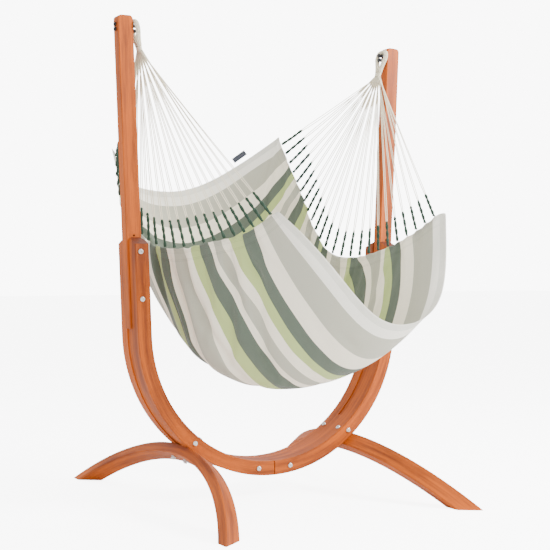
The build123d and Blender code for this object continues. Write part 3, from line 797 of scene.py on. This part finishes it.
class HAMMOCK_OT_cloth(bpy.types.Operator):
    """Hang the striped cloth on its ties, let it settle and press its creases in"""
    bl_idname = "hammock.cloth"
    bl_label = "Hang the cloth"

    def execute(self, context):
        cloth = context.scene.hammock_cloth
        rows = TIES * CELLS_PER_TIE + 1
        columns = CELLS_ALONG + 1
        points = cloth_points(rows, columns)
        row_lengths = np.sum(np.linalg.norm(np.diff(points, axis=1), axis=2), axis=1)
        column_lengths = np.sum(np.linalg.norm(np.diff(points, axis=0), axis=2), axis=0)
        normals = grid_normals(points)
        dice = random.Random(11)
        depths = [dice.uniform(0.35, 1.0) for _ in range(TIES + 1)]
        shares = np.linspace(0, 1, rows)
        for column in range(columns):
            along = column / CELLS_ALONG
            near = exp(-along / FOLD_REACH) + exp(-(1 - along) / FOLD_REACH)
            for row, share in enumerate(shares):
                wave = 0.5 - 0.5 * cos(2 * pi * (share * TIES - 0.5))
                depth = cloth.fold_depth * depths[int(share * TIES)] * near
                points[row, column] -= normals[row, column] * wave * depth
        points = with_hems(points)
        piece = self.make_grid(points)
        self.settle(piece, points, row_lengths, column_lengths, cloth.frames)
        self.press_creases(piece, points.shape, rows)
        self.finish_piece(piece, cloth)
        return {"FINISHED"}

    def press_creases(self, piece, shape, body_rows):
        """Press the creases into the mesh."""
        grid = np.zeros(shape)
        for vertex in piece.data.vertices:
            grid[self.row_of[vertex.index], self.column_of[vertex.index]] = vertex.co
        grid = creased(grid, body_rows)
        for vertex in piece.data.vertices:
            vertex.co = grid[self.row_of[vertex.index], self.column_of[vertex.index]]

    def make_grid(self, points):
        """Grid mesh with its stripes' UV map."""
        rows, columns, _ = points.shape
        clear_selection()
        bpy.ops.mesh.primitive_grid_add(x_subdivisions=columns - 1, y_subdivisions=rows - 1, size=2)
        piece = bpy.context.object
        piece.name = "hammock_cloth"
        piece.data.name = "hammock_cloth"
        uv = piece.data.uv_layers[0]
        uv.name = "Flat"
        row_of, column_of = {}, {}
        for vertex in piece.data.vertices:
            column_of[vertex.index] = round((vertex.co.x + 1) / 2 * (columns - 1))
            row_of[vertex.index] = round((vertex.co.y + 1) / 2 * (rows - 1))
        last_row = rows - 1 - 2 * HEM_CELLS
        for loop in piece.data.loops:
            along = column_of[loop.vertex_index] / (columns - 1)
            across = (row_of[loop.vertex_index] - HEM_CELLS) / last_row
            inside = min(max(across, 0), 1)
            share = stripe_share(along, inside) + (across - inside)
            uv.data[loop.index].uv = (along * FLAT_ALONG, share * FLAT_ACROSS)
        for vertex in piece.data.vertices:
            vertex.co = points[row_of[vertex.index], column_of[vertex.index]]
        self.row_of, self.column_of = row_of, column_of
        return piece

    def settle(self, piece, points, row_lengths, column_lengths, frames):
        """Let Cloth settle the grid a little, held firmly at its ties and weakly elsewhere."""
        rows, columns, _ = points.shape
        body_rows = rows - 2 * HEM_CELLS
        piece.shape_key_add(name="Hung")
        flat = piece.shape_key_add(name="Flat")
        holds = piece.vertex_groups.new(name="Hold")
        for vertex in piece.data.vertices:
            row = self.row_of[vertex.index] - HEM_CELLS
            column = self.column_of[vertex.index]
            inner_row = min(max(row, 0), body_rows - 1)
            along = column / (columns - 1)
            edge = min(along, 1 - along)
            length = column_lengths[column]
            width = row_lengths[inner_row] * SLACK_ALONG
            height = length * (1 + GATHER * exp(-edge / GATHER_REACH))
            beyond = (row - inner_row) * HEM_WIDTH / HEM_CELLS
            across = (inner_row / (body_rows - 1) - 0.5) * height + beyond
            flat.data[vertex.index].co = ((along - 0.5) * width, across, 0)
            hold = BODY_HOLD
            if inner_row in (0, body_rows - 1):
                hold = HEM_HOLD
            if column in (0, columns - 1) and row % CELLS_PER_TIE == CELLS_PER_TIE // 2:
                hold = TIE_HOLD
            holds.add([vertex.index], hold, "REPLACE")
        flat.value = 0
        scene = bpy.context.scene
        modifier = piece.modifiers.new("Settle", "CLOTH")
        settings = modifier.settings
        for name, value in CLOTH_PHYSICS.items():
            setattr(settings, name, value)
        settings.vertex_group_mass = "Hold"
        settings.rest_shape_key = flat
        modifier.collision_settings.use_collision = False
        modifier.point_cache.frame_start = 1
        modifier.point_cache.frame_end = frames
        for step in range(1, frames + 1):
            scene.frame_set(step)
        depsgraph = bpy.context.evaluated_depsgraph_get()
        settled = piece.evaluated_get(depsgraph)
        coordinates = [vertex.co.copy() for vertex in settled.data.vertices]
        piece.modifiers.remove(modifier)
        piece.shape_key_clear()
        for vertex, place in zip(piece.data.vertices, coordinates):
            vertex.co = place
        piece.vertex_groups.clear()
        scene.frame_set(1)

    def finish_piece(self, piece, cloth):
        """Fine mesh, thickness, material and its place in the frame."""
        subdivision = piece.modifiers.new("Fine", "SUBSURF")
        subdivision.levels = 1
        subdivision.render_levels = 1
        apply_modifier(piece, "Fine")
        thickness = piece.modifiers.new("Thickness", "SOLIDIFY")
        thickness.thickness = cloth.thickness
        thickness.offset = 0
        apply_modifier(piece, "Thickness")
        for polygon in piece.data.polygons:
            polygon.use_smooth = True
        piece.data.materials.clear()
        piece.data.materials.append(self.make_finish(cloth))
        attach(piece, "hammock")
        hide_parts("hammock_fabric", "front_hem", "back_hem")

    def make_finish(self, cloth):
        """Striped canvas with a plain weave, stitched ends and hems."""
        material, tree, shader = new_material("Striped canvas")
        uv = add_node(tree, "ShaderNodeUVMap", uv_map="Flat").outputs[0]
        along, across, _ = parts(tree, uv)
        share = calc(tree, "DIVIDE", across, FLAT_ACROSS)
        folded = minus(tree, 0.5, size_of(tree, minus(tree, share, 0.5)))
        folded = calc(tree, "MAXIMUM", folded, 0.0)
        wobble = noise(tree, join(tree, times(tree, along, 6), 0, 0), 1, 2)
        folded = plus(tree, folded, times(tree, minus(tree, wobble, 0.5), 0.0012))
        stops = []
        start = 0.0
        for end, colour in STRIPES:
            stops.append((2 * start, tuple(getattr(cloth, colour))))
            start = end
        colour = ramp(tree, times(tree, folded, 2), stops, constant=True)
        weave = use_group(tree, bpy.data.node_groups["Plain weave"], Place=uv, Thread=THREAD_PITCH)
        slub = span(tree, weave["Slub"], 0.35, 0.65, 0.93, 1.0)
        colour = blend_colour(tree, 1.0, colour, join(tree, slub, slub, slub), "MULTIPLY")
        from_left = minus(tree, FLAT_ALONG / 2, size_of(tree, minus(tree, along, FLAT_ALONG / 2)))
        rows = 0.0
        for place in STITCH_ROWS:
            line = span(tree, size_of(tree, minus(tree, from_left, place)), 0.0006, 0.0016, 1, 0)
            rows = calc(tree, "MAXIMUM", rows, line)
        hem_line = span(tree, size_of(tree, minus(tree, folded, 0.0005)), 0.0004, 0.0010, 1, 0)
        rows = calc(tree, "MAXIMUM", rows, hem_line)
        stitch = calc(tree, "SINE", times(tree, across, 2 * pi / STITCH_PITCH))
        thread = times(tree, rows, span(tree, stitch, -0.6, 0.2, 0.25, 1.0))
        dark = blend_colour(tree, 1.0, colour, (0.62, 0.64, 0.62, 1), "MULTIPLY")
        colour = blend_colour(tree, times(tree, thread, 0.8), colour, dark)
        feed_all(tree, shader, Base_Color=colour, Roughness=0.88, Sheen_Weight=0.15, Sheen_Roughness=0.6)
        height = minus(tree, plus(tree, weave["Height"], weave["Slub"]), times(tree, thread, 1.5))
        bump(tree, shader, height, 0.5, 0.0005)
        return material


class HAMMOCK_OT_hanging_loops(bpy.types.Operator):
    """Wind the rope loops that hang on the bolts, with their bound necks"""
    bl_idname = "hammock.hanging_loops"
    bl_label = "Wind the hanging loops"

    def execute(self, context):
        finish = cord_finish("Cream loop rope", context.scene.hammock_cord.cord_colour, 0.006, 2, 0.0008)
        for side_name, side in SIDES.items():
            route = self.loop_route(side)
            tubes = []
            for ring, (count, offset, turns) in enumerate(ROPE_LAYERS):
                for index in range(count):
                    phase = 2 * pi * index / count + ring
                    tubes.append((strand_round(route, offset, turns, phase), ROPE_STRAND_RADIUS, 7))
            loop = tube_piece(f"{side_name}_rope_loop", tubes, finish)
            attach(loop, "hammock")
            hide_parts(f"{side_name}_hanging_loop")
            whip = tube_piece(f"{side_name}_neck_whipping", [(self.whipping(side), WHIP_RADIUS, 7)], finish)
            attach(whip, "hammock")
            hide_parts(f"{side_name}_neck_wrap")
        return {"FINISHED"}

    def loop_route(self, side):
        """Smooth teardrop from one leg at the neck, over the sleeve and down the other leg."""
        down = neck_down(side)
        forward = Vector((0, 1, 0))
        top = neck_place(side, 0)
        half = (
            (NECK_HALF_GAP, NECK_DROP + WRAP_GAP), (0.0130, 0.058), (0.0250, 0.034), (0.0335, 0.012),
            (0.0300, -0.010), (0.0150, -LOOP_REACH - 0.0015),
        )
        places = [top + forward * y + down * drop for y, drop in half]
        places += [top - forward * y + down * drop for y, drop in reversed(half)]
        return route_points(places, order=4, resolution=6)

    def whipping(self, side):
        """Turns of thin cord round the neck."""
        forward = Vector((0, 1, 0))
        inwards = neck_down(side).cross(forward)
        points = []
        last = WHIP_TURNS * WHIP_STEPS
        for index in range(last + 1):
            angle = 2 * pi * index / WHIP_STEPS
            drop = NECK_DROP + WRAP_GAP + WHIP_RADIUS + (WRAP_HEIGHT - 2 * WHIP_RADIUS) * index / last
            round_it = forward * WHIP_HALF_WIDTH * cos(angle) + inwards * WHIP_HALF_DEPTH * sin(angle)
            points.append(neck_place(side, drop) + round_it)
        return points


class HAMMOCK_OT_suspension_cords(bpy.types.Operator):
    """Stretch the cream cords in pairs from the necks to the ties"""
    bl_idname = "hammock.suspension_cords"
    bl_label = "Stretch the suspension cords"

    def execute(self, context):
        settings = context.scene.hammock_cord
        finish = cord_finish("Cream cord", settings.cord_colour, 0.004, 2, 0.0005)
        dice = random.Random(23)
        for side_name, side in SIDES.items():
            tubes = []
            for start, eye, _ in tie_ends(side):
                reach = (eye - start).normalized()
                sideways = reach.cross(Vector((0.3, 1, 0.1))).normalized()
                bow = dice.uniform(*CORD_SAG)
                top = start - reach * 0.012
                first, second = [], []
                for index in range(CORD_STEPS + 1):
                    share = index / CORD_STEPS
                    middle = top.lerp(eye, share)
                    sag = Vector((0, 0, -4 * bow * share * (1 - share)))
                    gap = CORD_GAP * (0.55 + 0.9 * share) * (1 if share < 0.97 else 0.6)
                    first.append(middle + sag + sideways * gap)
                    second.append(middle + sag * 0.4 - sideways * gap)
                hook = straight(first[-1], first[-1] + reach * CORD_HOOK, 3)[1:]
                back = straight(second[-1] + reach * CORD_HOOK, second[-1], 3)[:-1]
                bend = [eye + reach * 0.0085]
                line = first + hook + bend + back + list(reversed(second))
                tubes.append((line, settings.cord_radius, 6))
            piece = tube_piece(f"{side_name}_cord_fan", tubes, finish)
            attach(piece, "hammock")
            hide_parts(f"{side_name}_suspension_cords")
        return {"FINISHED"}


class HAMMOCK_OT_ties(bpy.types.Operator):
    """Twist the green ties between the cords and the cloth"""
    bl_idname = "hammock.ties"
    bl_label = "Twist the ties"

    def execute(self, context):
        settings = context.scene.hammock_cord
        finish = cord_finish("Green tie", settings.tie_colour, 0.0050, 2, 0.0005)
        dice = random.Random(5)
        for side_name, side in SIDES.items():
            tubes = []
            for _, eye, place in tie_ends(side):
                reach = (eye - place).normalized()
                bow = reach.orthogonal().normalized() * dice.uniform(-TIE_BOW, TIE_BOW)
                centre = []
                for index in range(TIE_STEPS + 1):
                    centre.append(place.lerp(eye, index / TIE_STEPS) + bow * sin(pi * index / TIE_STEPS))
                turns = settings.tie_turns + dice.uniform(-0.3, 0.3)
                phase = dice.uniform(0, 2 * pi)
                offset = settings.tie_radius * TIE_STRAND_SHARE
                first = strand_round(centre, offset, turns, phase)
                second = strand_round(centre, offset, turns, phase + pi)
                crown = [eye + reach * TIE_CROWN]
                line = first + crown + list(reversed(second))
                tubes.append((line, settings.tie_radius, 7))
            piece = tube_piece(f"{side_name}_ties", tubes, finish)
            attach(piece, "hammock")
            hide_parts(f"{side_name}_end_loops")
        return {"FINISHED"}


class HAMMOCK_OT_label(bpy.types.Operator):
    """Give the plain tag by the back hem its woven finish"""
    bl_idname = "hammock.label"
    bl_label = "Finish the tag"

    def execute(self, context):
        material, tree, shader = new_material("Plain woven tag")
        weave = use_group(tree, bpy.data.node_groups["Plain weave"], Place=object_place(tree), Thread=0.0008)
        feed(tree, shader, "Base Color", blend_colour(tree, weave["Height"], TAG_DARK, TAG_LIGHT))
        feed(tree, shader, "Roughness", 0.7)
        bump(tree, shader, weave["Height"], 0.4, 0.0003)
        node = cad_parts["label_tag"]
        node.data.materials.clear()
        node.data.materials.append(material)
        return {"FINISHED"}


class HAMMOCK_OT_stage(bpy.types.Operator):
    """Set the pale floor, the soft lights and the camera"""
    bl_idname = "hammock.stage"
    bl_label = "Set the stage"

    def execute(self, context):
        clear_selection()
        bpy.ops.mesh.primitive_plane_add(size=60, location=(0, 0, 0))
        floor = bpy.context.object
        floor.name = "floor"
        material, tree, shader = new_material("Pale floor")
        feed_all(tree, shader, Base_Color=(0.90, 0.90, 0.90, 1), Roughness=0.9, Emission_Color=(1, 1, 1, 1))
        seen = add_node(tree, "ShaderNodeLightPath").outputs["Is Camera Ray"]
        feed(tree, shader, "Emission Strength", times(tree, seen, FLOOR_SEEN))
        floor.data.materials.append(material)
        world = bpy.data.worlds.new("Pale room")
        context.scene.world = world
        world.use_nodes = True
        tree = world.node_tree
        seen = add_node(tree, "ShaderNodeLightPath").outputs["Is Camera Ray"]
        strength = calc(tree, "MULTIPLY_ADD", seen, SKY_SEEN - SKY_LIGHT, SKY_LIGHT)
        feed(tree, tree.nodes["Background"], "Color", (1, 1, 1, 1))
        feed(tree, tree.nodes["Background"], "Strength", strength)
        for name, place, size, energy in LIGHTS:
            data = bpy.data.lights.new(name, "AREA")
            data.size = size
            data.energy = energy
            light = bpy.data.objects.new(name, data)
            light.location = place
            light.rotation_euler = (Vector(LIGHT_AIM) - Vector(place)).to_track_quat("-Z", "Y").to_euler()
            context.scene.collection.objects.link(light)
        camera_data = bpy.data.cameras.new("Camera")
        camera_data.lens = CAMERA_LENS
        camera_data.sensor_width = 36
        camera = bpy.data.objects.new("Camera", camera_data)
        level = cos(CAMERA_PITCH)
        forward = Vector((sin(CAMERA_AZIMUTH) * level, cos(CAMERA_AZIMUTH) * level, -sin(CAMERA_PITCH)))
        camera.matrix_world = (
            Matrix.Translation(CAMERA_PLACE)
            @ forward.to_track_quat("-Z", "Y").to_matrix().to_4x4()
            @ Matrix.Rotation(CAMERA_ROLL, 4, "Z"))
        context.scene.collection.objects.link(camera)
        context.scene.camera = camera
        return {"FINISHED"}


class HAMMOCK_PT_sidebar(bpy.types.Panel):
    """Settings and steps of the hammock chair"""
    bl_label = "Hammock chair"
    bl_idname = "HAMMOCK_PT_sidebar"
    bl_space_type = "VIEW_3D"
    bl_region_type = "UI"
    bl_category = "Hammock"

    def draw(self, context):
        scene = context.scene
        for settings in (scene.hammock_wood, scene.hammock_cloth, scene.hammock_cord):
            box = self.layout.box()
            for name in type(settings).__annotations__:
                box.prop(settings, name)
        for operator in OPERATORS:
            self.layout.operator(operator.bl_idname)


SETTINGS = {
    "hammock_wood": HammockWoodSettings,
    "hammock_cloth": HammockClothSettings,
    "hammock_cord": HammockCordSettings,
}
OPERATORS = (
    HAMMOCK_OT_stage, HAMMOCK_OT_stand, HAMMOCK_OT_cloth, HAMMOCK_OT_hanging_loops,
    HAMMOCK_OT_suspension_cords, HAMMOCK_OT_ties, HAMMOCK_OT_label,
)


def register():
    for settings in SETTINGS.values():
        bpy.utils.register_class(settings)
    for name, settings in SETTINGS.items():
        setattr(bpy.types.Scene, name, bpy.props.PointerProperty(type=settings))
    for operator in OPERATORS:
        bpy.utils.register_class(operator)
    bpy.utils.register_class(HAMMOCK_PT_sidebar)


def unregister():
    bpy.utils.unregister_class(HAMMOCK_PT_sidebar)
    for operator in reversed(OPERATORS):
        bpy.utils.unregister_class(operator)
    for name, settings in SETTINGS.items():
        delattr(bpy.types.Scene, name)
        bpy.utils.unregister_class(settings)


def main():
    """Build everything in order."""
    register()
    make_weave_group()
    make_twist_group()
    bpy.ops.hammock.stage()
    bpy.ops.hammock.stand()
    bpy.ops.hammock.cloth()
    bpy.ops.hammock.hanging_loops()
    bpy.ops.hammock.suspension_cords()
    bpy.ops.hammock.ties()
    bpy.ops.hammock.label()


if __name__ == "__main__":
    main()
